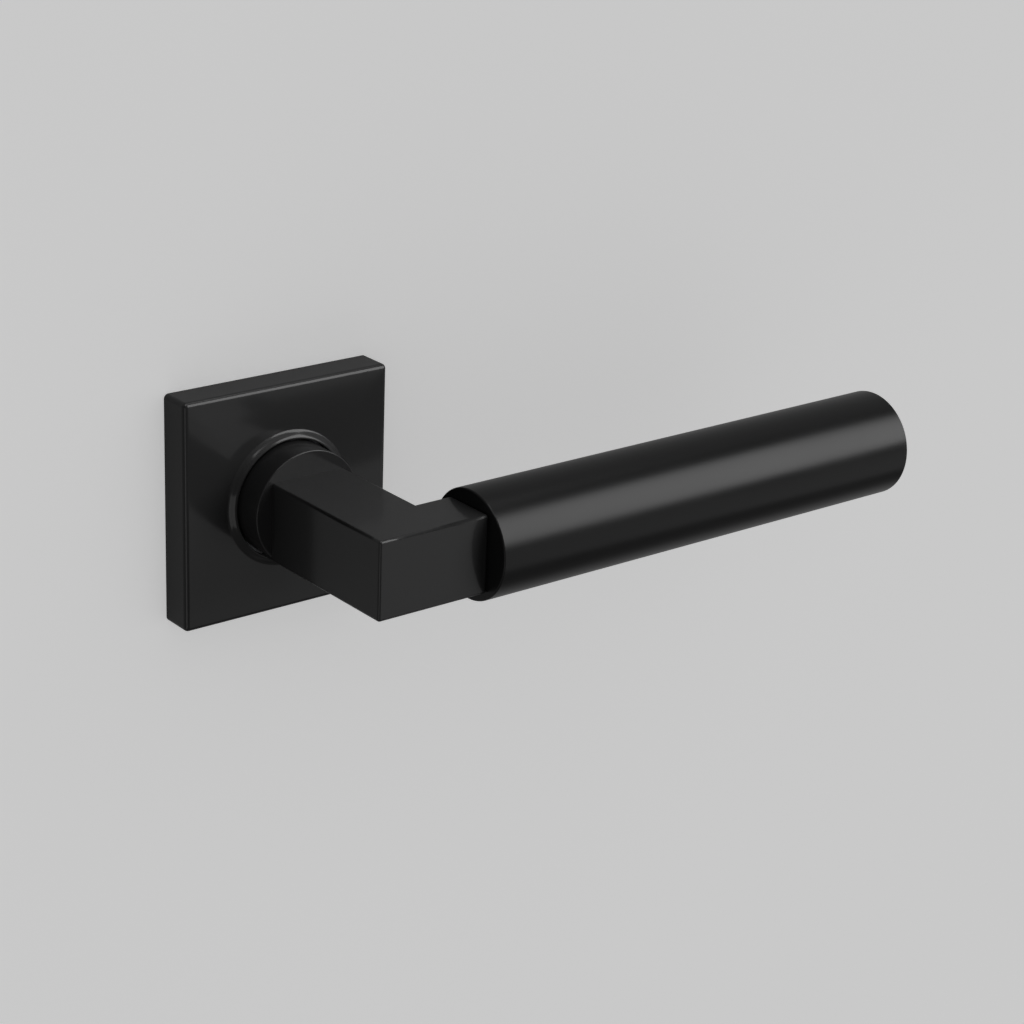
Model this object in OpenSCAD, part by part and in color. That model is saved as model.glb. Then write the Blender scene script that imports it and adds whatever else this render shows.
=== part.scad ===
/* [Rose] */
// Side of the square rose
rose_w = 52; // [50:0.5:64]
// Depth of the rose from the door to its front face
rose_t = 8; // [8:0.1:12]
// Wall of the rose cover, at its sides and its front
cover_wall = 1.6; // [1.2:0.1:1.8]
// Radius along the cover's front edges and corners
edge_r = 1.1; // [0.4:0.1:1.5]
// Height of the raised lip round the cover's hole
lip_h = 1.2; // [0.6:0.1:2]
// Width of the lip's flat rim
lip_rim_w = 0.7; // [0.3:0.1:1.2]
// Width of the lip's soft outer flank
lip_flank_w = 1.3; // [0.6:0.1:2]
// Gap between the collar and the cover's hole
hole_gap = 0.5; // [0.2:0.1:1]
// Front wall of the base plate, over the spring
floor_t = 1.2; // [1:0.1:1.4]
// Distance between the two through bolts
bolt_spacing = 38; // [38:0.5:39]
// Thread diameter of the through bolts
bolt_d = 4; // [3.5:0.1:4.2]
// How far the through bolts stand out behind the rose
bolt_out = 42; // [20:1:80]
// Shank diameter of the wood screws
wood_screw_d = 3.5; // [3:0.1:4]
// Distance of the wood screws from the rose's sides
wood_screw_inset = 8.5; // [8:0.1:9]
// How far the wood screws stand out behind the rose
wood_screw_out = 14; // [8:1:25]
// Thread diameter of the grub screw that holds the cover
cover_screw_d = 3; // [2.5:0.5:4]

/* [Lever] */
// Diameter of the round collar
collar_d = 26.2; // [24:0.1:31.5]
// Distance of the collar's front face from the door
collar_reach = 15.9; // [12:0.1:22]
// Width of the square neck
neck_w = 18.6; // [15:0.1:22]
// Height of the neck and the arm
neck_h = 17.8; // [14.8:0.1:22]
// How far the neck and the grip lie below the spindle axis
neck_drop = 1.4; // [0:0.1:2]
// Distance of the elbow's front face from the door
neck_reach = 55.2; // [50:0.1:80]
// Thickness of the arm, front to back
arm_t = 13.2; // [11:0.1:16]
// Distance of the arm's end from the spindle axis
arm_end = 18.5; // [16:0.1:26]
// Diameter of the journal that turns in the bush
journal_d = 17; // [14.2:0.1:17.4]
// Width of the square spindle
spindle_w = 8; // [6.7:0.1:9]
// How far the spindle stands out behind the rose
spindle_out = 45; // [20:1:90]
// Depth of the spindle in the neck, measured from the door
spindle_in = 33; // [24:1:36]
// Thread diameter of the grub screw that grips the spindle
spindle_screw_d = 5; // [4:0.5:6]

/* [Grip] */
// Diameter of the grip
grip_d = 24.6; // [20.5:0.1:30]
// Length of the grip
grip_l = 120; // [90:1:150]
// Wall of the grip sleeve
grip_wall = 2.5; // [1.5:0.1:3.4]
// Thickness of the sleeve's closed end, at the arm
grip_end_t = 8; // [5:0.5:12]
// Thickness of the end cap
cap_t = 5; // [3:0.5:8]
// Thread diameter of the bolt inside the grip
grip_bolt_d = 6; // [5:0.5:6.5]
// Diameter of the dowel that stops the grip turning
dowel_d = 3; // [2:0.5:3]

/* [Spring and bearing] */
// Angle that the lever turns through
lever_travel = 45; // [30:1:50]
// Wall of the nylon bush
bush_wall = 1.35; // [1:0.05:1.5]
// Thickness of the bush's flange
flange_t = 0.6; // [0.4:0.1:0.8]
// Wire diameter of the return spring
wire_d = 1; // [0.8:0.1:1.05]
// Thickness of the spring cam
cam_t = 1; // [0.8:0.1:1.1]
// Width of the cam's arm
cam_arm_w = 4; // [3:0.1:5]
// Thickness of the circlip
circlip_t = 0.8; // [0.6:0.1:0.9]
// Diameter of the two stop pins
stop_pin_d = 2; // [1.5:0.1:2.4]

/* [Hidden] */
$fn = 96;
// Depths are distances in front of the door. What lies in the door has a negative depth.
over = 1;            // how far a cut runs past the face that it opens
fit = 0.05;          // clearance of a turning or sliding fit
press = 0.02;        // clearance of a pressed or threaded fit
slack = 0.15;        // clearance between parts that only nest
edge_break = 0.35;   // small break on turned edges
steel_break = 1.2;   // break on the ends of the spindle

// Rose stack, from the cover inwards
cover_in_w = rose_w - 2 * cover_wall;
cover_in_d = rose_t - cover_wall;
base_w = cover_in_w - 2 * slack;
base_t = cover_in_d - slack;
base_corner_r = 1;
collar_r = collar_d / 2;
cover_hole_r = collar_r + hole_gap;
flange_front = base_t + flange_t;
washer_inset = 0.7;  // how far the washers stay inside the collar's edge
washer_r = collar_r - washer_inset;
washer_gap = 0.05;
thrust_t = 0.5;
thrust_back = flange_front + washer_gap;
wave_t = 0.35;
wave_back = thrust_back + thrust_t + washer_gap;
collar_back = wave_back + wave_t + 2 * washer_gap;

// Journal, from its rear end forwards
journal_r = journal_d / 2;
journal_back = 0.1;
land_t = 0.5;
groove_back = journal_back + land_t;
circlip_back = groove_back + fit;
groove_front = circlip_back + circlip_t + fit;
groove_depth = 0.6;
groove_r = journal_r - groove_depth;
cam_back = groove_front;
cam_front = cam_back + cam_t;
flat_depth = 1.3;
flats_w = journal_d - 2 * flat_depth;
flats_front = cam_front + fit;

// Bearing and spring chamber
bush_in_r = journal_r + fit;
bush_out_r = bush_in_r + bush_wall;
boss_wall = 1.65;
boss_r = bush_out_r + boss_wall;
chamber_d = base_t - floor_t;
coil_gap = 0.9;      // room inside the coil
coil_room = 0.6;     // room outside the coil
coil_r = boss_r + coil_gap + wire_d / 2;
chamber_r = coil_r + wire_d / 2 + coil_room;
arm_room = 0.8;      // room beyond the cam's arm
arm_tip = 0.8;       // how far the arm runs past the stop pins' circle
stop_rise = 1.2;     // how far the stop pins' circle lies outside the chamber
stop_r = chamber_r + stop_rise;
arm_r = stop_r + arm_tip;
pocket_r = arm_r + arm_room;
pocket_roof = 1.25;  // how much the pocket for the arm is shallower than the chamber
pocket_d = chamber_d - pocket_roof;
stop_gap = 0.1;
rest_angle = -lever_travel / 2;
stop_angle = asin((cam_arm_w + stop_pin_d + 2 * stop_gap) / 2 / stop_r);
pocket_angle = lever_travel / 2 + stop_angle + 6;
pin_inset = 0.5;     // how far the stop pins stay inside the base plate

// Return spring: a fixed leg below, a coil that winds up towards the grip, and a rearward tang
// that the cam's arm pushes
fixed_leg_angle = 180;
moving_leg_angle = rest_angle + asin((cam_arm_w + wire_d + 2 * stop_gap) / 2 / coil_r);
coil_front = chamber_d - wire_d / 2 - fit;
coil_sweep = 360 + fixed_leg_angle + moving_leg_angle;
coil_back = coil_front - wire_d * coil_sweep / 360;
coil_steps = 40;
leg_join = 6;        // angle over which a leg bends into the coil
leg_slot_r = pocket_r + 0.4;

// Bolts and screws
head_r = bolt_d * 0.875;
head_t = bolt_d * 0.6;
head_gap = 0.2;      // room round and in front of a head, and round a shank
bolt_tip = 0.5;      // break on the bolt's end
neck_relief = 0.3;   // how much thinner a bolt's shank is inside the rose
counterbore_d = base_t - head_t - head_gap;
bolt_key = 0.72;     // hexagon across its corners, as a share of the thread
wood_head_r = wood_screw_d;
wood_seat = base_t - slack - edge_break;
wood_shank_r = wood_screw_d * 0.4;
wood_tip = 3;        // length of the wood screw's point
cross_w = 0.7;       // width of the cross recess
cross_d = 1.4;       // depth of the cross recess, from the plate's front
wood_screw_at = rose_w / 2 - wood_screw_inset;
cover_screw_depth = base_t * 0.55;
cover_screw_l = 5;
cover_screw_sunk = 0.3;
cover_screw_low = -rose_w / 2 + cover_screw_sunk;
clip_w = 10;
clip_t = 0.5;
clip_bow = 0.25;     // rise of the leaf spring's middle
clip_inset = 1.2;    // how far the leaf spring's ends stay from the plate's faces
notch_inset = 0.8;   // how far its notch stays from them
notch_room = 0.6;    // room under the leaf spring
grub_key = 0.58;     // hexagon across its corners, as a share of the thread
grub_key_depth = 0.45; // depth of the hexagon, as a share of the length

// Lever
neck_top = neck_h / 2 - neck_drop;
neck_bottom = -neck_h / 2 - neck_drop;
grip_axis = neck_reach - arm_t / 2;
grip_r = grip_d / 2;
grip_bore_r = grip_r - grip_wall;
grip_end = arm_end + grip_l;
grip_inner = arm_end + grip_end_t;
socket_w = spindle_w + 2 * fit;
spindle_screw_at = (collar_reach + spindle_in) / 2;
spindle_screw_sunk = 0.4;
bolt_in_arm = 12;
bolt_head_r = grip_bolt_d * 0.83;
bolt_head_key = 0.96; // hexagon across its corners, as a share of the thread
lock_washer_t = 1.2;
washer_rim = 0.5;    // how far the washer stands out round the bolt's head
dowel_l = 10;
dowel_inset = 3.1;   // distance of the dowel's axis from the top of the arm
dowel_up = neck_h / 2 - dowel_inset;
cap_wall = 2;        // side wall of the hollow end cap

// An outline in width and height, filled between two depths
module slab(from, to)
    translate([0, -from, 0]) rotate([90, 0, 0]) linear_extrude(to - from) children();

// A round bar about the spindle axis
module rod(r, from, to) slab(from, to) circle(r);

// A square bar about the spindle axis
module bar(w, from, to) slab(from, to) square(w, center = true);

// A block between two corners, each given as width, depth and height
module block(a, b)
    translate([a[0], -b[1], a[2]]) cube([b[0] - a[0], b[1] - a[1], b[2] - a[2]]);

// An outline of radius and depth, turned about the spindle axis
module turned() rotate([90, 0, 0]) rotate_extrude() children();

// An outline of radius and distance, turned about the grip's axis
module turned_grip()
    translate([0, -grip_axis, -neck_drop]) rotate([0, 90, 0]) rotate_extrude() children();

// A round bar along the grip's axis, shifted upwards
module grip_rod(r, from, to, up = 0)
    translate([from, -grip_axis, up - neck_drop]) rotate([0, 90, 0]) cylinder(r = r, h = to - from);

// A round bar that hangs below, at one depth
module post(r, depth, low, high) translate([0, -depth, low]) cylinder(r = r, h = high - low);

// A wedge about the spindle axis, with its angles counted from straight up towards the grip
module wedge(r, from_angle, to_angle, from, to) intersection() {
    rod(r, from, to);
    slab(from, to) polygon([[0, 0], for (i = [0:2]) let (a = from_angle + (to_angle - from_angle) * i / 2)
        2 * r * [sin(a), cos(a)]]);
}

// A square block with round corners and, for the cover, round front edges
module plate(w, t, r) {
    block([-w / 2 + r, 0, -w / 2], [w / 2 - r, t, w / 2]);
    block([-w / 2, 0, -w / 2 + r], [w / 2, t, w / 2 - r]);
    for (x = [-1, 1], z = [-1, 1]) translate([x * (w / 2 - r), 0, z * (w / 2 - r)]) rod(r, 0, t);
}
module cushion(w, t, r) {
    plate(w, t - r, r);
    block([-w / 2 + r, 0, -w / 2 + r], [w / 2 - r, t, w / 2 - r]);
    for (a = [0:90:270]) rotate([0, a, 0]) translate([0, r - t, w / 2 - r]) {
        rotate([0, 90, 0]) cylinder(r = r, h = w - 2 * r, center = true);
        translate([w / 2 - r, 0, 0]) sphere(r);
    }
}

// A tube along a line of points, as one skin of rings
function unit(v) = v / norm(v);
function heading(p, i) = unit(p[min(i + 1, len(p) - 1)] - p[max(i - 1, 0)]);
function ring(c, n, r, sides) = let (s = unit(cross(n, [0.31, 1, 0.17])), t = cross(n, s))
    [for (k = [0:sides - 1]) let (a = 360 * k / sides) c + r * (cos(a) * s + sin(a) * t)];
module tube(p, r, sides = 10) {
    rings = [for (i = [0:len(p) - 1]) each ring(p[i], heading(p, i), r, sides)];
    last = (len(p) - 1) * sides;
    walls = [for (i = [0:len(p) - 2], k = [0:sides - 1])
        let (a = i * sides + k, b = i * sides + (k + 1) % sides) [a, b, b + sides, a + sides]];
    ends = [[for (k = [sides - 1:-1:0]) k], [for (k = [0:sides - 1]) last + k]];
    polyhedron(rings, concat(walls, ends));
}

// A point at an angle counted from straight up towards the grip
function around(r, angle, depth) = [r * sin(angle), -depth, r * cos(angle)];

lip_steps = 8;
lip_base = rose_t - cover_wall / 2;
lip_outline = [
    [cover_hole_r, lip_base],
    [cover_hole_r, rose_t + lip_h],
    for (i = [0:lip_steps]) let (s = i / lip_steps)
        [cover_hole_r + lip_rim_w + lip_flank_w * s, rose_t + lip_h * (1 + cos(180 * s)) / 2],
    [cover_hole_r + lip_rim_w + lip_flank_w, lip_base]];

module rose_cover() color("#232324") difference() {
    union() {
        cushion(rose_w, rose_t, edge_r);
        turned() polygon(lip_outline);
    }
    bar(cover_in_w, -over, cover_in_d);
    rod(cover_hole_r, -over, rose_t + lip_h + over);
    post(cover_screw_d / 2 + slack, cover_screw_depth, -rose_w / 2 - over, 0);
}

// Leaf spring in a notch on top of the base plate, which grips the cover from inside
module cover_clip() color("#b9bcc0") {
    high = cover_in_w / 2 - fit;
    low = high - clip_t;
    mid = -base_t / 2;
    reach = base_t / 2 - clip_inset;
    translate([-clip_w / 2, 0, 0]) rotate([90, 0, 90]) linear_extrude(clip_w) polygon([
        [mid - reach, low - clip_bow], [mid, low], [mid + reach, low - clip_bow],
        [mid + reach, high - clip_bow], [mid, high], [mid - reach, high - clip_bow]]);
}

// Socket grub screws share one form: a plain shank with a hexagon socket in the lower end
module grub(d, depth, low, l) difference() {
    post(d / 2 - press, depth, low, low + l);
    translate([0, -depth, low - over])
        cylinder(r = d * grub_key / 2, h = over + l * grub_key_depth, $fn = 6);
}

module cover_screw() color("#3a3a3c")
    grub(cover_screw_d, cover_screw_depth, cover_screw_low, cover_screw_l);

module base_plate() color("#5c5e60") difference() {
    plate(base_w, base_t, base_corner_r);
    difference() {
        rod(chamber_r, -over, chamber_d);
        rod(boss_r, cam_front + fit, chamber_d + over);
    }
    rod(bush_out_r + press, -over, base_t + over);
    wedge(pocket_r, -pocket_angle, pocket_angle, -over, pocket_d);
    block([-wire_d, -over, -leg_slot_r], [wire_d, chamber_d, -chamber_r + over]);
    for (x = [-1, 1]) translate([x * bolt_spacing / 2, 0, 0]) {
        rod(bolt_d / 2 + head_gap, -over, base_t + over);
        rod(head_r + head_gap, counterbore_d, base_t + over);
    }
    for (s = [-1, 1]) translate([s * wood_screw_at, 0, s * wood_screw_at]) {
        rod(wood_screw_d / 2 + slack, -over, base_t + over);
        turned() polygon([
            [0, wood_seat - wood_head_r - slack], [wood_head_r + slack, wood_seat],
            [wood_head_r + slack, base_t + over], [0, base_t + over]]);
    }
    for (s = [-1, 1]) rotate([0, s * (lever_travel / 2 + stop_angle), 0])
        translate([0, 0, stop_r]) rod(stop_pin_d / 2 + press, -over, base_t - pin_inset + slack);
    post(cover_screw_d / 2, cover_screw_depth, -base_w / 2 - over, cover_screw_low + cover_screw_l + slack);
    block([-clip_w / 2 - slack, notch_inset, cover_in_w / 2 - clip_t - notch_room],
        [clip_w / 2 + slack, base_t - notch_inset, rose_w]);
}

module neck_bush() color("#3a3b3c") turned() polygon([
    [bush_in_r, cam_front + fit], [bush_out_r, cam_front + fit], [bush_out_r, base_t + press],
    [washer_r, base_t + press], [washer_r, flange_front], [bush_in_r, flange_front]]);

module washer(r_in, r_out, back, t) difference() {
    rod(r_out, back, back + t);
    rod(r_in, back - over, back + t + over);
}

module thrust_washer() color("#2f3031") washer(bush_in_r + slack, washer_r, thrust_back, thrust_t);

module wave_washer() color("#c6c9cc") washer(bush_in_r + slack, washer_r, wave_back, wave_t);

module stop_pins() color("#c2c5c8") for (s = [-1, 1]) rotate([0, s * (lever_travel / 2 + stop_angle), 0])
    translate([0, 0, stop_r]) rod(stop_pin_d / 2, pin_inset, base_t - pin_inset);

module return_spring() color("#8f9499") tube([
    around(leg_slot_r - slack, fixed_leg_angle, coil_front),
    around(coil_r + wire_d, fixed_leg_angle, coil_front),
    for (i = [0:coil_steps]) let (s = i / coil_steps)
        around(coil_r, fixed_leg_angle + leg_join + (coil_sweep - 2 * leg_join) * s,
            coil_front + (coil_back - coil_front) * s),
    around(coil_r, moving_leg_angle, coil_back - wire_d / 4),
    around(coil_r, moving_leg_angle, cam_back)], wire_d / 2);

module fixing_bolts() color("#bfc2c5") for (x = [-1, 1]) translate([x * bolt_spacing / 2, 0, 0])
    difference() {
        turned() polygon([
            [0, -bolt_out], [bolt_d / 2 - bolt_tip, -bolt_out], [bolt_d / 2, bolt_tip - bolt_out],
            [bolt_d / 2, 0], [bolt_d / 2 - neck_relief, 0],
            [bolt_d / 2 - neck_relief, counterbore_d], [head_r, counterbore_d],
            [head_r, counterbore_d + head_t - edge_break], [head_r - edge_break, counterbore_d + head_t],
            [0, counterbore_d + head_t]]);
        slab(counterbore_d + head_t * 0.3, base_t + over) circle(bolt_d * bolt_key / 2, $fn = 6);
    }

module wood_screws() color("#c9c1a3") for (s = [-1, 1]) translate([s * wood_screw_at, 0, s * wood_screw_at])
    difference() {
        turned() polygon([
            [0, -wood_screw_out], [wood_screw_d / 2, wood_tip - wood_screw_out],
            [wood_screw_d / 2, 0], [wood_shank_r, 0], [wood_shank_r, wood_seat - wood_head_r + wood_shank_r],
            [wood_head_r, wood_seat], [wood_head_r, base_t - slack], [0, base_t - slack]]);
        for (a = [45, 135]) rotate([0, a, 0])
            block([-wood_head_r * 0.6, base_t - cross_d, -cross_w / 2],
                [wood_head_r * 0.6, base_t + over, cross_w / 2]);
    }

module lever_neck() color("#222223") difference() {
    union() {
        turned() polygon([
            [0, journal_back], [journal_r, journal_back], [journal_r, collar_back], [collar_r, collar_back],
            [collar_r, collar_reach - edge_break], [collar_r - edge_break, collar_reach], [0, collar_reach]]);
        block([-neck_w / 2, collar_reach - over, neck_bottom], [neck_w / 2, neck_reach, neck_top]);
        block([-neck_w / 2, neck_reach - arm_t, neck_bottom], [arm_end, neck_reach, neck_top]);
    }
    for (s = [-1, 1]) translate([0, 0, s * (flats_w / 2 + journal_r)]) bar(journal_d, -over, flats_front);
    difference() {
        rod(journal_r + over, groove_back, groove_front);
        rod(groove_r, groove_back - over, groove_front + over);
    }
    bar(socket_w, -over, spindle_in + slack);
    post(spindle_screw_d / 2, spindle_screw_at, neck_bottom - over, 0);
    grip_rod(grip_bolt_d / 2, arm_end - bolt_in_arm - over, arm_end + over);
    grip_rod(dowel_d / 2 + press, arm_end - dowel_l / 2 - slack, arm_end + over, dowel_up);
}

module spring_cam() color("#9fa3a7") difference() {
    union() {
        rod(boss_r + coil_gap / 2, cam_back, cam_front);
        rotate([0, rest_angle, 0]) block([-cam_arm_w / 2, cam_back, 0], [cam_arm_w / 2, cam_front, arm_r]);
    }
    intersection() {
        rod(journal_r + fit, cam_back - over, cam_front + over);
        block([-journal_d, cam_back - over, -flats_w / 2 - fit],
            [journal_d, cam_front + over, flats_w / 2 + fit]);
    }
}

module circlip() color("#5b5e62") {
    clip_out_r = journal_r + 2;
    lug_r = 1.7;
    lug_at = clip_out_r - 0.3;
    lug_angle = 24;
    difference() {
        union() {
            rod(clip_out_r, circlip_back, circlip_back + circlip_t);
            for (s = [-1, 1]) rotate([0, 180 + s * lug_angle, 0])
                translate([0, 0, lug_at]) rod(lug_r, circlip_back, circlip_back + circlip_t);
        }
        rod(groove_r + fit, circlip_back - over, circlip_back + circlip_t + over);
        wedge(clip_out_r + over, 180 - lug_angle / 2, 180 + lug_angle / 2,
            circlip_back - over, groove_front + over);
        for (s = [-1, 1]) rotate([0, 180 + s * lug_angle, 0])
            translate([0, 0, lug_at]) rod(lug_r * 0.4, circlip_back - over, groove_front + over);
    }
}

// Square bar, with its corners turned down at both ends
module spindle() color("#b4b7ba") intersection() {
    bar(spindle_w, -spindle_out, spindle_in);
    turned() polygon([
        [0, -spindle_out], [spindle_w * 0.56, -spindle_out], [spindle_w * 0.72, steel_break - spindle_out],
        [spindle_w * 0.72, spindle_in - steel_break], [spindle_w * 0.56, spindle_in], [0, spindle_in]]);
}

module spindle_screw() color("#3a3a3c") {
    low = neck_bottom + spindle_screw_sunk;
    grub(spindle_screw_d, spindle_screw_at, low, -spindle_w / 2 - press - low);
}

module grip_sleeve() color("#1f1f20") difference() {
    turned_grip() polygon([
        [0, arm_end], [grip_r - edge_break, arm_end], [grip_r, arm_end + edge_break],
        [grip_r, grip_end - edge_break], [grip_r - edge_break, grip_end], [0, grip_end]]);
    grip_rod(grip_bore_r, grip_inner, grip_end + over);
    grip_rod(grip_bolt_d / 2 + slack, arm_end - over, grip_inner + over);
    grip_rod(dowel_d / 2 + press, arm_end - over, arm_end + dowel_l / 2 + slack, dowel_up);
}

module grip_bolt() color("#4a4c4f") difference() {
    union() {
        grip_rod(grip_bolt_d / 2 - press, arm_end - bolt_in_arm, grip_inner + lock_washer_t + over);
        grip_rod(bolt_head_r, grip_inner + lock_washer_t, grip_inner + lock_washer_t + grip_bolt_d);
    }
    translate([grip_inner + lock_washer_t + grip_bolt_d / 2, -grip_axis, -neck_drop])
        rotate([0, 90, 0]) cylinder(r = grip_bolt_d * bolt_head_key / 2, h = grip_bolt_d, $fn = 6);
}

module grip_washer() color("#8f9295") difference() {
    grip_rod(bolt_head_r + washer_rim, grip_inner, grip_inner + lock_washer_t);
    grip_rod(grip_bolt_d / 2 + slack, grip_inner - over, grip_inner + lock_washer_t + over);
}

module grip_dowel() color("#b4b7ba")
    grip_rod(dowel_d / 2, arm_end - dowel_l / 2, arm_end + dowel_l / 2, dowel_up);

// Turned plug, hollow inside, with its outer face flush with the sleeve's end
module grip_cap() color("#1f1f20") turned_grip() polygon([
    [0, grip_end - cap_t / 2], [grip_bore_r - cap_wall, grip_end - cap_t / 2],
    [grip_bore_r - cap_wall, grip_end - cap_t],
    [grip_bore_r - press, grip_end - cap_t], [grip_bore_r - press, grip_end - edge_break],
    [grip_bore_r - edge_break, grip_end], [0, grip_end]]);

rose_cover();
cover_clip();
cover_screw();
base_plate();
neck_bush();
thrust_washer();
wave_washer();
stop_pins();
return_spring();
fixing_bolts();
wood_screws();
lever_neck();
spring_cam();
circlip();
spindle();
spindle_screw();
grip_sleeve();
grip_bolt();
grip_washer();
grip_dowel();
grip_cap();
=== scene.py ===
import math

import bmesh
import bpy
from mathutils import Matrix, Vector


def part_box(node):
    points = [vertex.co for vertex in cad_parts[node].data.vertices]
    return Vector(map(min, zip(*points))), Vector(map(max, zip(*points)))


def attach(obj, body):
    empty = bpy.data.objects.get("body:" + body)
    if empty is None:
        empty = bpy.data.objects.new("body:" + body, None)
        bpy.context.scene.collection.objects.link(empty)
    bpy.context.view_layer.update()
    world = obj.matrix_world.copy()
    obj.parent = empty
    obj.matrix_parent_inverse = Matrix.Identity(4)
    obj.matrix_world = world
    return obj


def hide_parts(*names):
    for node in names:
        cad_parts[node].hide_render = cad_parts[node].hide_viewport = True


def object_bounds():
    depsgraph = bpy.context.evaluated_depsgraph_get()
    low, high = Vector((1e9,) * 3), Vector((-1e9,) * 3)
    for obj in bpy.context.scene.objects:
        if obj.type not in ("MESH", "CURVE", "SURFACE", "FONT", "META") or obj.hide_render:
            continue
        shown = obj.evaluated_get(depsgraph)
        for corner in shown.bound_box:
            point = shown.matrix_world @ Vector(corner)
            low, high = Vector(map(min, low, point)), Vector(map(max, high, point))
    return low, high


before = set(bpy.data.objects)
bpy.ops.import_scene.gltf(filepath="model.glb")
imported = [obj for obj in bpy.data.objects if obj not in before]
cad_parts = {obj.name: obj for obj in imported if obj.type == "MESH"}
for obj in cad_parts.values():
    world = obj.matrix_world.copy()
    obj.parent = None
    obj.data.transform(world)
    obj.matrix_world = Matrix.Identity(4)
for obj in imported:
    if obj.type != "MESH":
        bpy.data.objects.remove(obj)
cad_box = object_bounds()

# ---------------------------------------------------------------- door face
# The pale painted face of the door that the rose is screwed to. It stands in for the
# floor and backdrop. It is open to sight from behind, so that the fixings can be seen.
mm = 0.001


class Wire:
    """One value in a material. Sums and products of wires add Math nodes."""

    def __init__(self, tree, socket=None):
        self.tree = tree
        self.socket = socket

    def node(self, kind, settings=None, sockets=None, output=0):
        """A new node: its settings come first, then what its sockets hold or are fed."""
        made = self.tree.nodes.new(kind)
        for name, setting in (settings or {}).items():
            setattr(made, name, setting)
        for name, value in (sockets or {}).items():
            if isinstance(value, Wire):
                self.tree.links.new(value.socket, made.inputs[name])
            else:
                made.inputs[name].default_value = value
        return Wire(self.tree, made.outputs[output] if made.outputs else None)

    def math(self, operation, first, second):
        return self.node("ShaderNodeMath", {"operation": operation}, {0: first, 1: second})

    def __add__(self, other):
        return self.math("ADD", self, other)

    def __sub__(self, other):
        return self.math("SUBTRACT", self, other)

    def __rsub__(self, other):
        return self.math("SUBTRACT", other, self)

    def __mul__(self, other):
        return self.math("MULTIPLY", self, other)

    __radd__ = __add__
    __rmul__ = __mul__


def bare_material(name):
    """A new material with nothing in its tree, and a wire to add nodes with."""
    material = bpy.data.materials.new(name)
    material.use_nodes = True
    material.node_tree.nodes.clear()
    return material, Wire(material.node_tree)


def grey(shade):
    return (shade, shade, shade, 1)


def door_paint(paint, seen_glow, glow):
    """Even pale grey with a soft contact shadow, clear from behind. A faint glow of its
    own keeps its tone even, and is weaker in what the handle mirrors."""
    material, tree = bare_material("door_paint")
    place = tree.node("ShaderNodeTexCoord", output=3)
    drift = tree.node("ShaderNodeTexNoise", {}, {"Vector": place, "Scale": 9.0, "Detail": 2.0})
    shade = tree.node("ShaderNodeMix", {"data_type": "RGBA"},
                      {0: drift, 6: grey(paint), 7: grey(paint * 0.97)}, output=2)
    in_sight = tree.node("ShaderNodeLightPath")
    shine = tree.node("ShaderNodeMix", {"data_type": "RGBA"},
                      {0: in_sight, 6: grey(glow), 7: grey(seen_glow)}, output=2)
    coat = tree.node("ShaderNodeBsdfPrincipled", {}, {
        "Base Color": shade, "Roughness": 0.9, "Specular IOR Level": 0.0,
        "Emission Color": shine, "Emission Strength": 1.0})
    clear = tree.node("ShaderNodeBsdfTransparent")
    behind = tree.node("ShaderNodeNewGeometry", output=6)
    either = tree.node("ShaderNodeMixShader", {}, {0: behind, 1: coat, 2: clear})
    tree.node("ShaderNodeOutputMaterial", {}, {"Surface": either})
    return material


door_gap = 0.05 * mm
door_half = 2.0
bm = bmesh.new()
bmesh.ops.create_grid(bm, x_segments=1, y_segments=1, size=door_half, matrix=Matrix.Translation(
    (0, door_gap, 0)) @ Matrix.Rotation(math.radians(90), 4, "X"))
door_mesh = bpy.data.meshes.new("door_face")
bm.to_mesh(door_mesh)
bm.free()
door_mesh.materials.append(door_paint(paint=0.9, seen_glow=0.355, glow=0.09))
door = bpy.data.objects.new("door_face", door_mesh)
bpy.context.scene.collection.objects.link(door)

# ---------------------------------------------------------------- rose cover
# A square cap pressed from sheet, with round edges and a soft lip raised round its hole.
# It is powder coated satin black and snaps over the base plate, held by a grub screw.
rose_lip = 1.2 * mm
lip_rim = 0.2 * mm
lip_flank = 1.8 * mm
cover_wall = 1.6 * mm
cover_round = 1.1 * mm
hole_gap = 0.5 * mm
grub_room = 0.17 * mm
turns = 144
hair = 1e-6


def lathe(bm, outline, along, across, centre=(0, 0, 0), steps=turns):
    """Turns an outline of (radius, distance) pairs all the way round an axis."""
    centre, along, across = Vector(centre), Vector(along), Vector(across)
    points = [bm.verts.new(centre + across * radius + along * far) for radius, far in outline]
    lines = [bm.edges.new(pair) for pair in zip(points, points[1:])]
    bmesh.ops.spin(bm, geom=points + lines, cent=centre, axis=along, dvec=(0, 0, 0),
                   angle=math.tau, steps=steps, use_merge=True, use_duplicate=False)
    bmesh.ops.remove_doubles(bm, verts=bm.verts[:], dist=1e-7)


def ease(bm, width, segments=4, steep=30, among=None):
    """Rounds the hard outward edges of a closed shape."""
    bmesh.ops.recalc_face_normals(bm, faces=bm.faces[:])
    hard = [e for e in among or bm.edges if e.is_manifold
            and e.calc_face_angle_signed() > math.radians(steep)]
    bmesh.ops.bevel(bm, geom=hard, offset=width, offset_type="OFFSET", affect="EDGES",
                    segments=segments, profile=0.5, clamp_overlap=True, material=-1)


def as_piece(name, bm, material):
    """A finished shape as an object, with its round faces shaded smooth."""
    bmesh.ops.recalc_face_normals(bm, faces=bm.faces[:])
    mesh = bpy.data.meshes.new(name)
    bm.to_mesh(mesh)
    bm.free()
    mesh.materials.append(material)
    mesh.shade_smooth()
    mesh.set_sharp_from_angle(angle=math.radians(35))
    piece = bpy.data.objects.new(name, mesh)
    bpy.context.scene.collection.objects.link(piece)
    even = piece.modifiers.new("even_shading", "WEIGHTED_NORMAL")
    even.keep_sharp = True
    return piece


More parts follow.
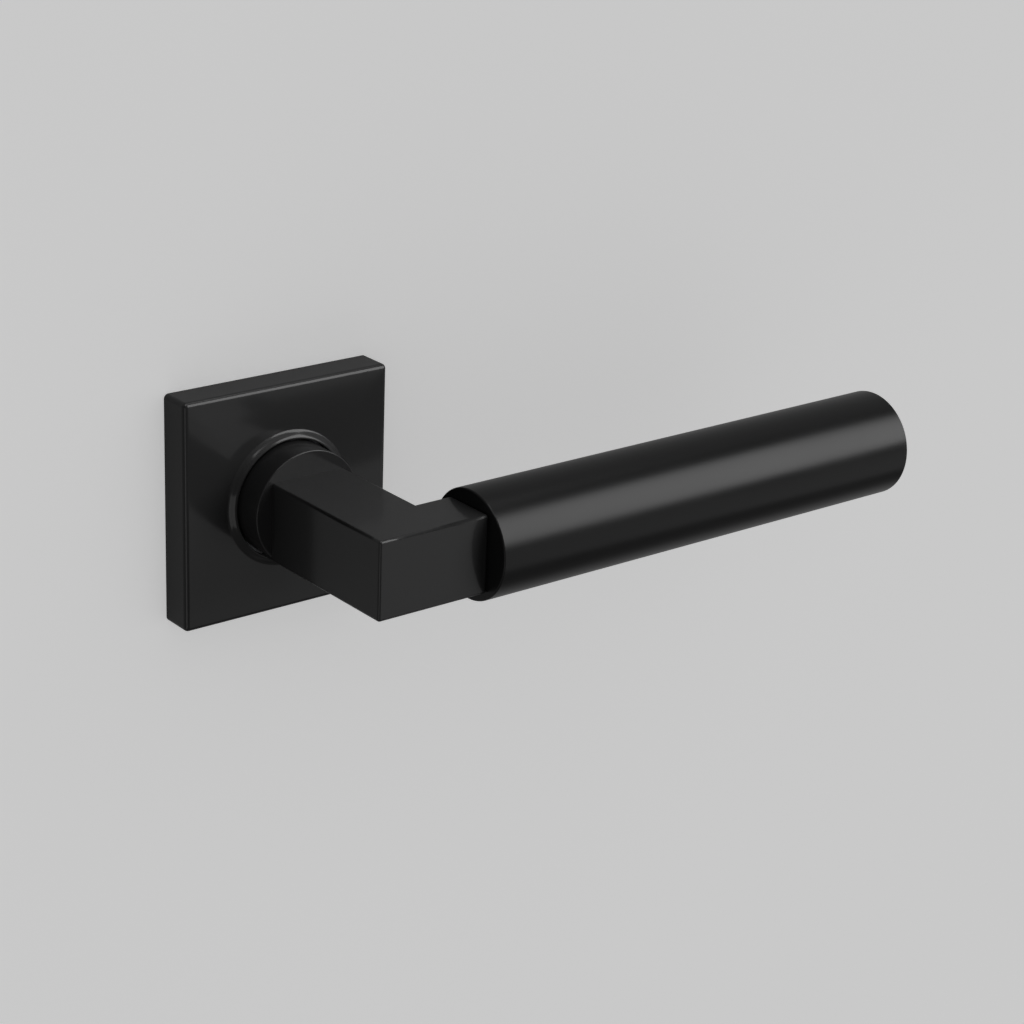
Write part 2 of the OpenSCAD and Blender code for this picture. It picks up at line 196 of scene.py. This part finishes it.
def block(bm, low, high):
    """A box between two corners."""
    low, high = Vector(low), Vector(high)
    size = Matrix.Diagonal((*(high - low), 1))
    return bmesh.ops.create_cube(bm, size=1, matrix=Matrix.Translation((low + high) / 2) @ size)


def combined(bm, tool, operation):
    """One shape joined to another, cut by it, or kept only where both are."""
    stock = []
    for shape in (bm, tool):
        bmesh.ops.recalc_face_normals(shape, faces=shape.faces[:])
        mesh = bpy.data.meshes.new("stock")
        shape.to_mesh(mesh)
        shape.free()
        stock.append(bpy.data.objects.new("stock", mesh))
        bpy.context.scene.collection.objects.link(stock[-1])
    cut = stock[0].modifiers.new("cut", "BOOLEAN")
    cut.operation = operation
    cut.solver = "EXACT"
    cut.object = stock[1]
    made = bmesh.new()
    made.from_mesh(stock[0].evaluated_get(bpy.context.evaluated_depsgraph_get()).to_mesh())
    for item in stock:
        bpy.data.meshes.remove(item.data)
    return made


def drill(bm, radius, start, end, sides=64):
    """A shape with a round hole, or one of a few sides, cut between two points."""
    start, end = Vector(start), Vector(end)
    turned = (end - start).to_track_quat("Z", "Y").to_matrix().to_4x4()
    tool = bmesh.new()
    bmesh.ops.create_cone(tool, cap_ends=True, segments=sides, radius1=radius, radius2=radius,
                          depth=(end - start).length, matrix=Matrix.Translation((start + end) / 2) @ turned)
    return combined(bm, tool, "DIFFERENCE")


def fitted(piece, body, slot, *nodes):
    """Puts a finished piece on the body it moves with, in place of its CAD nodes."""
    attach(piece, body)
    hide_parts(*nodes)


def powder_coat(name, shade, gloss, peel, skin_share):
    """Baked powder paint: nearly black, satin, with a trace of orange peel."""
    material, tree = bare_material(name)
    place = tree.node("ShaderNodeTexCoord", output=3)
    drift = tree.node("ShaderNodeTexNoise", {}, {"Vector": place, "Scale": 45.0, "Detail": 3.0})
    skin = tree.node("ShaderNodeTexNoise", {}, {"Vector": place, "Scale": 900.0, "Detail": 2.0})
    grain = tree.node("ShaderNodeTexNoise", {}, {"Vector": place, "Scale": 5200.0, "Detail": 1.0})
    colour = tree.node("ShaderNodeMix", {"data_type": "RGBA"}, {
        0: drift * 0.6 + grain * 0.4, 6: (shade * 0.8, shade * 0.8, shade * 0.82, 1),
        7: (shade * 1.2, shade * 1.2, shade * 1.22, 1)}, output=2)
    rough = (drift - 0.5) * 0.06 + (grain - 0.5) * 0.05 + gloss
    height = skin * 0.75 + grain * 0.25
    bump = tree.node("ShaderNodeBump", {}, {"Height": height, "Strength": 1.0, "Distance": peel})
    paint = tree.node("ShaderNodeBsdfPrincipled", {}, {
        "Base Color": colour, "Roughness": rough, "IOR": 1.45, "Specular IOR Level": 0.2,
        "Coat Weight": skin_share, "Coat Roughness": 0.13, "Coat IOR": 1.45, "Normal": bump})
    tree.node("ShaderNodeOutputMaterial", {}, {"Surface": paint})
    return material


satin_black = powder_coat("satin_black", shade=0.007, gloss=0.54, peel=0.004 * mm, skin_share=0.4)

low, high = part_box("rose_cover")
rose_half = high.x
rose_front = -low.y - rose_lip
inner_front = rose_front - cover_wall
hole_r = -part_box("lever_neck")[0].x + hole_gap

bm = bmesh.new()
block(bm, (-rose_half, -rose_front, -rose_half), (rose_half, 0, rose_half))
back = max(bm.faces, key=lambda f: f.calc_center_median().y)
bmesh.ops.inset_region(bm, faces=[back], thickness=cover_wall, use_even_offset=True)
pressed = bmesh.ops.extrude_face_region(bm, geom=[back])["geom"]
inside = next(g for g in pressed if isinstance(g, bmesh.types.BMFace))
bmesh.ops.translate(bm, verts=inside.verts[:], vec=(0, -inner_front, 0))
if back.is_valid:
    bmesh.ops.delete(bm, geom=[back], context="FACES_ONLY")
outer = [e for e in bm.edges if all(max(abs(v.co.x), abs(v.co.z)) > rose_half - hair for v in e.verts)
         and min(v.co.y for v in e.verts) < -rose_front + hair]
ease(bm, cover_round, segments=8, among=outer)
front = min(bm.faces, key=lambda f: (round(f.calc_center_median().y, 6), -f.calc_area()))
inside = max((f for f in bm.faces if abs(f.normal.y) > 0.99
              and f.calc_center_median().y > -rose_front + mm), key=lambda f: f.calc_area())
open_loops = [front.edges[:], inside.edges[:]]
bmesh.ops.delete(bm, geom=[front, inside], context="FACES_ONLY")
for loop in open_loops:
    bmesh.ops.subdivide_edges(bm, edges=loop, cuts=turns // 4 - 1)
rims = [e for e in bm.edges if e.is_boundary]
steps = 10
flank = [(hole_r + lip_rim + lip_flank * s / steps,
          rose_front + rose_lip * (1 + math.cos(math.pi * s / steps)) / 2) for s in range(steps + 1)]
soft = 0.15 * mm
mouth = [(hole_r, inner_front), (hole_r, rose_front + rose_lip - soft)]
mouth += [(hole_r + soft * (1 - math.cos(a)), rose_front + rose_lip - soft * (1 - math.sin(a)))
          for a in (math.radians(30), math.radians(60), math.radians(90))]
lathe(bm, mouth + flank, along=(0, -1, 0), across=(1, 0, 0))
rings = [e for e in bm.edges if e.is_boundary and e not in rims]
for depth in (rose_front, inner_front):
    pair = [e for e in rims + rings if abs(e.verts[0].co.y + depth) < hair]
    bmesh.ops.bridge_loops(bm, edges=pair)
grub_low, grub_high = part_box("cover_screw")
grub_y = (grub_low.y + grub_high.y) / 2
bm = drill(bm, grub_high.x + grub_room, (0, grub_y, -rose_half - mm),
           (0, grub_y, mm - rose_half + cover_wall))
fitted(as_piece("satin_rose_cover", bm, satin_black), "rose", "black_powder", "rose_cover")

# ---------------------------------------------------------------- collar, neck and arm
# One solid casting: a journal and a round collar that turn in the rose, a square neck
# that stands out from the door, and a square arm at its elbow. It is coated satin black.
neck_w = 18.6 * mm
neck_h = 17.8 * mm
neck_edge = 0.65 * mm
rim_edge = 0.35 * mm
journal_r = 8.5 * mm
groove_depth = 0.6 * mm
flat_depth = 1.3 * mm
fit = 0.05 * mm
thread_fit = 0.02 * mm
tapped_r = 3 * mm

low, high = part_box("lever_neck")
collar_r = -low.x
neck_front = -low.y
arm_end = high.x
grip_low, grip_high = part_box("grip_sleeve")
grip_mid = (grip_low + grip_high) / 2
grip_depth = -grip_mid.y
arm_back = 2 * grip_depth - neck_front
collar_reach = 15.9 * mm
collar_back = -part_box("wave_washer")[0].y + 2 * fit
clip_low, clip_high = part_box("circlip")
cam_front = -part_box("spring_cam")[0].y

bm = bmesh.new()
lathe(bm, [(0, -high.y), (journal_r, -high.y), (journal_r, -clip_high.y - fit),
           (journal_r - groove_depth, -clip_high.y - fit), (journal_r - groove_depth, -clip_low.y + fit),
           (journal_r, -clip_low.y + fit), (journal_r, collar_back), (collar_r, collar_back),
           (collar_r, collar_reach), (0, collar_reach)], along=(0, -1, 0), across=(1, 0, 0))
ease(bm, rim_edge, segments=4, steep=60)
neck = bmesh.new()
sunk = 2 * mm
block(neck, (-neck_w / 2, -arm_back, grip_mid.z - neck_h / 2),
      (neck_w / 2, sunk - collar_reach, grip_mid.z + neck_h / 2))
tip = min(neck.faces, key=lambda f: f.calc_center_median().y)
corner = bmesh.ops.extrude_face_region(neck, geom=[tip])["geom"]
bmesh.ops.translate(neck, verts=[v for v in corner if isinstance(v, bmesh.types.BMVert)],
                    vec=(0, arm_back - neck_front, 0))
side = max((f for f in neck.faces if f.normal.x > 0.9 or abs(f.calc_center_median().x - neck_w / 2) < hair),
           key=lambda f: -f.calc_center_median().y)
arm = bmesh.ops.extrude_face_region(neck, geom=[side])["geom"]
bmesh.ops.translate(neck, verts=[v for v in arm if isinstance(v, bmesh.types.BMVert)],
                    vec=(arm_end - neck_w / 2, 0, 0))
bmesh.ops.remove_doubles(neck, verts=neck.verts[:], dist=1e-7)
bmesh.ops.recalc_face_normals(neck, faces=neck.faces[:])
bmesh.ops.dissolve_limit(neck, angle_limit=math.radians(1), verts=neck.verts[:], edges=neck.edges[:])
outward = [e for e in neck.edges if max(v.co.y for v in e.verts) < sunk - collar_reach - hair
           or min(v.co.y for v in e.verts) < -collar_reach]
ease(neck, neck_edge, segments=4, among=outward)
bm = combined(bm, neck, "UNION")

socket_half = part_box("spindle")[1].x + fit
socket = bmesh.new()
block(socket, (-socket_half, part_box("spindle")[0].y - 3 * fit, -socket_half), (socket_half, mm, socket_half))
bm = combined(bm, socket, "DIFFERENCE")
for up in (1, -1):
    flat = bmesh.new()
    inner = journal_r - flat_depth
    block(flat, (-2 * journal_r, -cam_front - fit, up * inner), (2 * journal_r, mm, up * 2 * journal_r))
    bm = combined(bm, flat, "DIFFERENCE")
screw_low, screw_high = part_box("spindle_screw")
screw_y = (screw_low.y + screw_high.y) / 2
bm = drill(bm, screw_high.x + thread_fit, (0, screw_y, -2 * neck_h), (0, screw_y, 0))
bolt_low, bolt_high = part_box("grip_bolt")
bm = drill(bm, tapped_r, (bolt_low.x - mm, grip_mid.y, grip_mid.z), (arm_end + mm, grip_mid.y, grip_mid.z))
dowel_low, dowel_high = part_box("grip_dowel")
dowel_z = (dowel_low.z + dowel_high.z) / 2
dowel_r = (dowel_high.z - dowel_low.z) / 2
bm = drill(bm, dowel_r + thread_fit, (dowel_low.x - fit, grip_mid.y, dowel_z),
           (arm_end + mm, grip_mid.y, dowel_z))
fitted(as_piece("satin_neck", bm, satin_black), "lever", "black_powder", "lever_neck")

# ---------------------------------------------------------------- grip
# A turned tube, closed at the arm, with a turned plug pressed into its open end. Both
# are coated in a finer, slightly smoother black.
grip_wall = 2.5 * mm
grip_end_wall = 8 * mm
seam_edge = 0.15 * mm
bolt_hole_r = 3.15 * mm
grip_black = powder_coat("grip_black", shade=0.004, gloss=0.30, peel=0.003 * mm, skin_share=0.0)
grip_r = (grip_high.z - grip_low.z) / 2
bore_r = grip_r - grip_wall
bore_from = arm_end + grip_end_wall
grip_end = grip_high.x
rings = 12
flutes = [(grip_r, arm_end + (grip_end - arm_end) * k / rings) for k in range(1, rings)]

bm = bmesh.new()
lathe(bm, [(bolt_hole_r, arm_end), (grip_r, arm_end), *flutes, (grip_r, grip_end), (bore_r, grip_end),
           (bore_r, bore_from), (bolt_hole_r, bore_from), (bolt_hole_r, arm_end)],
      along=(1, 0, 0), across=(0, 0, 1), centre=(0, grip_mid.y, grip_mid.z))
bmesh.ops.recalc_face_normals(bm, faces=bm.faces[:])
outer = [e for e in bm.edges if e.is_manifold and e.calc_face_angle() > 1
         and math.hypot(e.verts[0].co.y - grip_mid.y, e.verts[0].co.z - grip_mid.z) > grip_r - mm]
mouth = [e for e in bm.edges if e.is_manifold and e.calc_face_angle() > 1
         and e.verts[0].co.x > grip_end - hair and e not in outer]
ease(bm, rim_edge, segments=4, among=outer)
ease(bm, seam_edge, segments=2, among=[e for e in mouth if e.is_valid])
bm = drill(bm, dowel_r + thread_fit, (arm_end - mm, grip_mid.y, dowel_z),
           (dowel_high.x + fit, grip_mid.y, dowel_z))
fitted(as_piece("satin_grip", bm, grip_black), "lever", "black_grip", "grip_sleeve")

cap_low, cap_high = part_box("grip_cap")
cap_r = (cap_high.z - cap_low.z) / 2
cap_wall = 2 * mm
bm = bmesh.new()
cap_mid = (cap_low.x + cap_high.x) / 2
lathe(bm, [(0, cap_high.x), (cap_r, cap_high.x), (cap_r, cap_low.x), (cap_r - cap_wall, cap_low.x),
           (cap_r - cap_wall, cap_mid), (0, cap_mid)],
      along=(1, 0, 0), across=(0, 0, 1), centre=(0, grip_mid.y, grip_mid.z))
bmesh.ops.recalc_face_normals(bm, faces=bm.faces[:])
ease(bm, seam_edge, segments=3, steep=60)
fitted(as_piece("satin_grip_end", bm, grip_black), "lever", "black_grip", "grip_cap")

# ---------------------------------------------------------------- inside the grip
# A socket head bolt pulls the sleeve's closed end against the arm over a lock washer,
# and a ground dowel stops it turning. All are steel, and the grip hides them.
bolt_pitch = 1 * mm
bolt_head_l = 6 * mm
key_depth = 3 * mm
key_r = 2.88 * mm


def metal(name, tone, other, gloss, grain, lean=(1, 1, 1), dents=0.002, shine=1.0):
    """Metal or dull resin: its tone drifts between two colours, under fine marks."""
    material, tree = bare_material(name)
    place = tree.node("ShaderNodeTexCoord", output=3)
    along = tree.node("ShaderNodeMapping", {}, {"Vector": place, "Scale": lean})
    clouds = tree.node("ShaderNodeTexNoise", {}, {"Vector": place, "Scale": 160.0, "Detail": 4.0})
    marks = tree.node("ShaderNodeTexNoise", {}, {"Vector": along, "Scale": grain, "Detail": 3.0})
    colour = tree.node("ShaderNodeMix", {"data_type": "RGBA"}, {
        0: clouds * 1.2 + marks * 0.6 - 0.4, 6: (*tone, 1), 7: (*other, 1)}, output=2)
    rough = (clouds - 0.5) * 0.18 + (marks - 0.5) * 0.14 + gloss
    bump = tree.node("ShaderNodeBump", {}, {"Height": marks, "Strength": 1.0, "Distance": dents * mm})
    skin = tree.node("ShaderNodeBsdfPrincipled", {}, {
        "Base Color": colour, "Metallic": shine, "Roughness": rough, "Normal": bump})
    tree.node("ShaderNodeOutputMaterial", {}, {"Surface": skin})
    return material


def eased_copy(node, width, segments=2, steep=40):
    """A CAD node's shape, with its loose triangles joined and its outward edges rounded."""
    bm = bmesh.new()
    bm.from_mesh(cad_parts[node].data)
    bmesh.ops.remove_doubles(bm, verts=bm.verts[:], dist=hair)
    bmesh.ops.dissolve_limit(bm, angle_limit=math.radians(0.2), verts=bm.verts[:], edges=bm.edges[:])
    ease(bm, width, segments, steep)
    return bm


def thread(core, crest, pitch, length, steps=24):
    """A right-handed thread up the Z axis, cut off square at both ends."""
    bm = bmesh.new()
    shape = [(crest, 0), (crest, pitch / 8), (core, pitch / 2), (core, pitch * 3 / 4), (crest, pitch)]
    points = [bm.verts.new((radius, 0, up - 2 * pitch)) for radius, up in shape]
    lines = [bm.edges.new(pair) for pair in zip(points, points[1:])]
    laps = math.ceil(length / pitch) + 3
    bmesh.ops.spin(bm, geom=points + lines, cent=(0, 0, 0), axis=(0, 0, 1), dvec=(0, 0, pitch / steps),
                   angle=math.tau * laps, steps=steps * laps, use_merge=False, use_duplicate=False)
    bmesh.ops.remove_doubles(bm, verts=bm.verts[:], dist=hair)
    for height, facing in ((0, -1), (length, 1)):
        cut = bmesh.ops.bisect_plane(bm, geom=bm.verts[:] + bm.edges[:] + bm.faces[:], dist=1e-7,
                                     plane_co=(0, 0, height), plane_no=(0, 0, facing), clear_outer=True)
        rim = [e for e in cut["geom_cut"] if isinstance(e, bmesh.types.BMEdge)]
        bmesh.ops.edgeloop_fill(bm, edges=rim)
    return bm


def draw_in(bm, start, end, end_share):
    """Narrows the last stretch of a bar that lies along Z, down to a share of its width."""
    for vert in bm.verts:
        share = 1 - (1 - end_share) * min(1, max(0, (vert.co.z - start) / (end - start)))
        vert.co.x *= share
        vert.co.y *= share


black_oxide = metal("black_oxide", (0.030, 0.031, 0.034), (0.052, 0.050, 0.048), gloss=0.42, grain=2500.0)
bright_plate = metal("bright_zinc_plate", (0.56, 0.58, 0.62), (0.66, 0.64, 0.60), gloss=0.30, grain=1800.0)
sprung_steel = metal("oiled_spring_steel", (0.36, 0.37, 0.39), (0.46, 0.45, 0.43), gloss=0.28, grain=900.0)
head_back = bolt_high.x - bolt_head_l
head_r = (bolt_high.z - bolt_low.z) / 2
crest = tapped_r - thread_fit
shank = head_back - bolt_low.x
bm = thread(0.8 * crest, crest, bolt_pitch, shank)
bmesh.ops.rotate(bm, verts=bm.verts[:], matrix=Matrix.Rotation(math.radians(180), 3, "X"))
bmesh.ops.translate(bm, verts=bm.verts[:], vec=(0, 0, shank))
head = bmesh.new()
lathe(head, [(0, shank - mm), (0.8 * crest, shank - mm), (0.8 * crest, shank), (head_r, shank),
             (head_r, shank + bolt_head_l), (0, shank + bolt_head_l)],
      along=(0, 0, 1), across=(1, 0, 0), steps=64)
ease(head, rim_edge, segments=3, steep=60)
bm = combined(bm, head, "UNION")
bm = drill(bm, key_r, (0, 0, shank + bolt_head_l - key_depth), (0, 0, shank + bolt_head_l + mm), sides=6)
bmesh.ops.transform(bm, verts=bm.verts[:], matrix=Matrix.Translation((bolt_low.x, grip_mid.y, grip_mid.z))
                    @ Matrix.Rotation(math.radians(90), 4, "Y"))
fitted(as_piece("socket_head_bolt", bm, black_oxide), "lever", "black_screw", "grip_bolt")
fitted(as_piece("lock_washer", eased_copy("grip_washer", 0.1 * mm), sprung_steel), "lever", "plated_steel",
       "grip_washer")
fitted(as_piece("ground_dowel", eased_copy("grip_dowel", 0.3 * mm, segments=3), bright_plate), "lever",
       "plated_steel", "grip_dowel")

# ---------------------------------------------------------------- spindle
# An 8 mm square bar of bright drawn steel that turns the latch. A black grub screw,
# driven up through the underside of the neck, bites on it.
drawn_steel = metal("bright_drawn_steel", (0.50, 0.51, 0.52), (0.62, 0.61, 0.60), gloss=0.26, grain=2600.0,
                    lean=(1, 0.03, 1), dents=0.004)
fitted(as_piece("drawn_spindle", eased_copy("spindle", 0.25 * mm, segments=3), drawn_steel), "lever",
       "plated_steel", "spindle")
fitted(as_piece("neck_grub_screw", eased_copy("spindle_screw", 0.2 * mm), black_oxide), "lever",
       "black_screw", "spindle_screw")

# ---------------------------------------------------------------- base plate
# A zinc casting with a dark passivated skin, screwed flat to the door. It carries the
# bearing, the spring and the stops, and a leaf spring and a grub screw hold the cover.
dark_casting = metal("dark_passivated_casting", (0.14, 0.145, 0.155), (0.21, 0.212, 0.216), gloss=0.5,
                     grain=420.0, dents=0.030, shine=0.9)
fitted(as_piece("cast_base_plate", eased_copy("base_plate", 0.2 * mm), dark_casting), "rose",
       "zinc_casting", "base_plate")
fitted(as_piece("cover_leaf_spring", eased_copy("cover_clip", 0.06 * mm), sprung_steel), "rose",
       "spring_steel", "cover_clip")
fitted(as_piece("cover_grub_screw", eased_copy("cover_screw", 0.15 * mm), black_oxide), "rose", "black_screw",
       "cover_screw")

# ---------------------------------------------------------------- bearing
# The journal turns in a flanged bush of graphite-filled nylon. Under the collar lie a
# thin ring of the same nylon and a wave washer of spring steel, which takes up end play.
wave_t = 0.2 * mm
waves = 3
dark_nylon = metal("graphite_nylon", (0.026, 0.027, 0.029), (0.044, 0.044, 0.045), gloss=0.55, grain=700.0,
                   dents=0.010, shine=0.0)
fitted(as_piece("nylon_bush", eased_copy("neck_bush", 0.15 * mm), dark_nylon), "rose", "nylon", "neck_bush")
fitted(as_piece("nylon_thrust_ring", eased_copy("thrust_washer", 0.1 * mm), dark_nylon), "rose", "nylon",
       "thrust_washer")
phosphated = metal("phosphated_spring_steel", (0.060, 0.060, 0.062), (0.105, 0.100, 0.094), gloss=0.50,
                   grain=1500.0)
low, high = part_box("wave_washer")
ring_in = journal_r + 4 * fit
bm = bmesh.new()
lathe(bm, [(ring_in, -wave_t / 2), (high.x, -wave_t / 2), (high.x, wave_t / 2), (ring_in, wave_t / 2),
           (ring_in, -wave_t / 2)], along=(0, -1, 0), across=(1, 0, 0))
rise = (high.y - low.y - wave_t) / 2
for vert in bm.verts:
    vert.co.y += (low.y + high.y) / 2 + rise * math.cos(waves * math.atan2(vert.co.x, vert.co.z))
fitted(as_piece("wavy_washer", bm, phosphated), "rose", "spring_steel", "wave_washer")

# ---------------------------------------------------------------- return spring and stops
# Spring wire wound round the bearing's boss lifts the lever. Its lower leg sits in a slot
# of the casting and its rearward tang leans on the cam's arm, between two steel pins.
# The tang and the last of the coil go with the cam, and slide along the rest of the coil.
winding = 1 * mm
bend_angle = math.radians(6)
overlap = math.radians(60)
tang_share = 0.98


def wire(name, radius, points, material):
    """A round wire bent smoothly through its points, with closed ends."""
    line = bpy.data.curves.new(name, "CURVE")
    line.dimensions = "3D"
    line.bevel_depth = radius
    line.bevel_resolution = 5
    line.resolution_u = 6
    line.use_fill_caps = True
    run = line.splines.new("BEZIER")
    run.bezier_points.add(len(points) - 1)
    for knot, point in zip(run.bezier_points, points):
        knot.co = point
        knot.handle_left_type = knot.handle_right_type = "AUTO"
    line.materials.append(material)
    piece = bpy.data.objects.new(name, line)
    bpy.context.scene.collection.objects.link(piece)
    return piece


def on_coil(angle, radius, depth):
    """A point at an angle counted from straight up towards the grip."""
    return Vector((radius * math.sin(angle), -depth, radius * math.cos(angle)))


low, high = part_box("return_spring")
cam_back = -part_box("spring_cam")[1].y
wire_r = winding / 2
coil_r = high.x - wire_r
front_depth = -low.y - wire_r
cam_w = 4 * mm
arm_angle = math.radians(-22.5)
first = math.radians(180)
last = first * 3 + arm_angle + math.asin((cam_w + winding + 4 * fit) / 2 / coil_r)
count = 44
sweep = [first + bend_angle + (last - first - bend_angle) * k / count for k in range(count + 1)]


def coil_depth(angle):
    return front_depth - winding * (angle - first) / math.tau


slot_leg = [on_coil(first, -low.z - fit, front_depth), on_coil(first, (coil_r - low.z) / 2, front_depth),
            on_coil(first, coil_r + winding, front_depth)]
coil = [on_coil(angle, coil_r, coil_depth(angle)) for angle in sweep]
tang = [on_coil(last + bend_angle / 2, coil_r, coil_depth(last) - wire_r / 2),
        on_coil(last + bend_angle / 2, coil_r, cam_back)]
fitted(wire("spring_coil", wire_r, slot_leg + coil, sprung_steel), "rose", "spring_steel", "return_spring")
moved = [point for point, angle in zip(coil, sweep) if angle > last - overlap]
end_of_spring = wire("spring_tang", wire_r * tang_share, moved + tang, sprung_steel)
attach(end_of_spring, "lever")
fitted(as_piece("stamped_cam", eased_copy("spring_cam", 0.12 * mm), bright_plate), "lever", "plated_steel",
       "spring_cam")
fitted(as_piece("dowel_stops", eased_copy("stop_pins", 0.25 * mm, segments=3), bright_plate), "rose",
       "plated_steel", "stop_pins")
fitted(as_piece("stamped_circlip", eased_copy("circlip", 0.1 * mm), phosphated), "lever", "dark_spring_steel",
       "circlip")

# ---------------------------------------------------------------- fixings
# Two zinc plated M4 socket screws run through the door to the other rose, and two short
# wood screws at opposite corners hold this one. Their heads lie in the base plate.
bolt_turn = 0.7 * mm
bolt_core = 1.6 * mm
bolt_crest = 2 * mm
bolt_shank = 1.7 * mm
bolt_head_t = 2.4 * mm
bolt_key_r = 1.44 * mm
bolt_tip = 0.5 * mm
wood_turn = 1.6 * mm
wood_core = 1.15 * mm
wood_crest = 1.75 * mm
wood_shank = 1.4 * mm
wood_tip = 3 * mm
cross_w = 0.7 * mm
cross_l = 4.2 * mm
cross_d = 1.25 * mm
yellow_plate = metal("yellow_passivate", (0.60, 0.50, 0.26), (0.55, 0.52, 0.40), gloss=0.33, grain=1800.0)


def stood_in_plate(bm, spots):
    """A screw drawn up the Z axis, with the door's face at zero, laid into the plate."""
    lone = bpy.data.meshes.new("lone")
    bmesh.ops.rotate(bm, verts=bm.verts[:], matrix=Matrix.Rotation(math.radians(-90), 3, "X"))
    bm.to_mesh(lone)
    bm.clear()
    for spot in spots:
        lone.transform(Matrix.Translation(spot))
        bm.from_mesh(lone)
        lone.transform(Matrix.Translation(-Vector(spot)))
    return bm


low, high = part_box("fixing_bolts")
bolt_head_r = high.z
bm = thread(bolt_core, bolt_crest, bolt_turn, high.y)
draw_in(bm, high.y - bolt_tip, high.y, bolt_core / bolt_crest)
head = bmesh.new()
lathe(head, [(0, low.y), (bolt_head_r, low.y), (bolt_head_r, low.y + bolt_head_t),
             (bolt_shank, low.y + bolt_head_t), (bolt_shank, 0), (bolt_core * 0.9, 0),
             (bolt_core * 0.9, mm), (0, mm)],
      along=(0, 0, 1), across=(1, 0, 0), steps=48)
ease(head, rim_edge, segments=3, steep=60)
bm = combined(bm, head, "UNION")
bm = drill(bm, bolt_key_r, (0, 0, low.y - mm), (0, 0, low.y + 0.7 * bolt_head_t), sides=6)
bolt_x = high.x - bolt_head_r
bm = stood_in_plate(bm, [(bolt_x, 0, 0), (-bolt_x, 0, 0)])
fitted(as_piece("threaded_through_bolts", bm, bright_plate), "rose", "plated_steel", "fixing_bolts")

low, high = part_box("wood_screws")
wood_head_r = 2 * wood_crest
wood_at = high.x - wood_head_r
seat = low.y + rim_edge
bm = thread(wood_core, wood_crest, wood_turn, high.y)
draw_in(bm, high.y - wood_tip, high.y, 0.06)
head = bmesh.new()
lathe(head, [(0, low.y), (wood_head_r, low.y), (wood_head_r, seat),
             (wood_shank, seat + wood_head_r - wood_shank), (wood_shank, 0),
             (wood_core * 0.9, wood_shank / 2), (wood_core * 0.9, 2 * mm), (0, 2 * mm)],
      along=(0, 0, 1), across=(1, 0, 0), steps=48)
bm = combined(bm, head, "UNION")
for turned in (45, 135):
    slot = bmesh.new()
    block(slot, (-cross_l / 2, -cross_w / 2, low.y - mm), (cross_l / 2, cross_w / 2, low.y + cross_d))
    bmesh.ops.rotate(slot, verts=slot.verts[:], matrix=Matrix.Rotation(math.radians(turned), 3, "Z"))
    bm = combined(bm, slot, "DIFFERENCE")
bm = stood_in_plate(bm, [(wood_at, 0, wood_at), (-wood_at, 0, -wood_at)])
fitted(as_piece("threaded_wood_screws", bm, yellow_plate), "rose", "brass_plated", "wood_screws")

# ---------------------------------------------------------------- studio
# A broad soft light high on the right, a strip light above, weak ones low on the right
# and low on the left, and a soft one behind the door for the fixings. None shines on the
# door's face, which a dim even room lights. The camera looks up the lever from its left.


def soft_light(name, place, width, height, radiance):
    """A rectangular light of even brightness, turned towards the handle's middle."""
    lamp = bpy.data.lights.new(name, "AREA")
    lamp.shape = "RECTANGLE"
    lamp.size = width
    lamp.size_y = height
    lamp.energy = radiance * math.pi * width * height
    light = bpy.data.objects.new(name, lamp)
    light.location = heart + Vector(place)
    light.rotation_mode = "QUATERNION"
    light.rotation_quaternion = Vector(place).to_track_quat("Z", "Y")
    bpy.context.scene.collection.objects.link(light)
    light.light_linking.receiver_collection = spared


heart = (cad_box[0] + cad_box[1]) / 2
lamp_far = 1.3
spared = bpy.data.collections.new("not_lit")
spared.objects.link(door)
soft_light("key", Vector((0.588, -0.67, 0.45)) * lamp_far, 1.0, 1.0, 6.2)
soft_light("fill", Vector((0.588, -0.724, -0.361)) * lamp_far, 1.0, 0.7, 0.6)
soft_light("overhead", (0.1, -0.14, 0.9), 1.6, 0.3, 4.0)
soft_light("rear", (0.5, 1.2, 0.6), 2.4, 2.0, 1.0)
soft_light("edge", Vector((-0.72, -0.59, -0.36)) * lamp_far, 0.5, 0.9, 1.2)
spared.collection_objects[0].light_linking.link_state = "EXCLUDE"

world = bpy.data.worlds.new("studio")
world.use_nodes = True
world.node_tree.nodes.clear()
tree = Wire(world.node_tree)
in_sight = tree.node("ShaderNodeLightPath", output=0)
by_paint = tree.node("ShaderNodeLightPath", output=2)
amount = in_sight * 0.46 + by_paint * 0.14 + 0.12
room = tree.node("ShaderNodeBackground", {}, {"Color": grey(1), "Strength": amount})
tree.node("ShaderNodeOutputWorld", {}, {"Surface": room})
bpy.context.scene.world = world
bpy.context.scene.view_settings.view_transform = "Standard"

camera_side = math.radians(-39.11)
camera_rise = math.radians(21.15)
camera_roll = math.radians(2.27)
camera_far = 577.87 * mm
camera_target = Vector((49.08, -25.0, -8.21)) * mm
back = Vector((math.sin(camera_side) * math.cos(camera_rise), -math.cos(camera_side) * math.cos(camera_rise),
               math.sin(camera_rise)))
lens = bpy.data.cameras.new("camera")
lens.sensor_width = 36
lens.lens = 90.35
lens.clip_start = 0.02
camera = bpy.data.objects.new("camera", lens)
camera.location = camera_target + back * camera_far
camera.rotation_mode = "QUATERNION"
camera_turn = Matrix.Rotation(camera_roll, 3, "Z").to_quaternion()
camera.rotation_quaternion = back.to_track_quat("Z", "Y") @ camera_turn
bpy.context.scene.collection.objects.link(camera)
bpy.context.scene.camera = camera
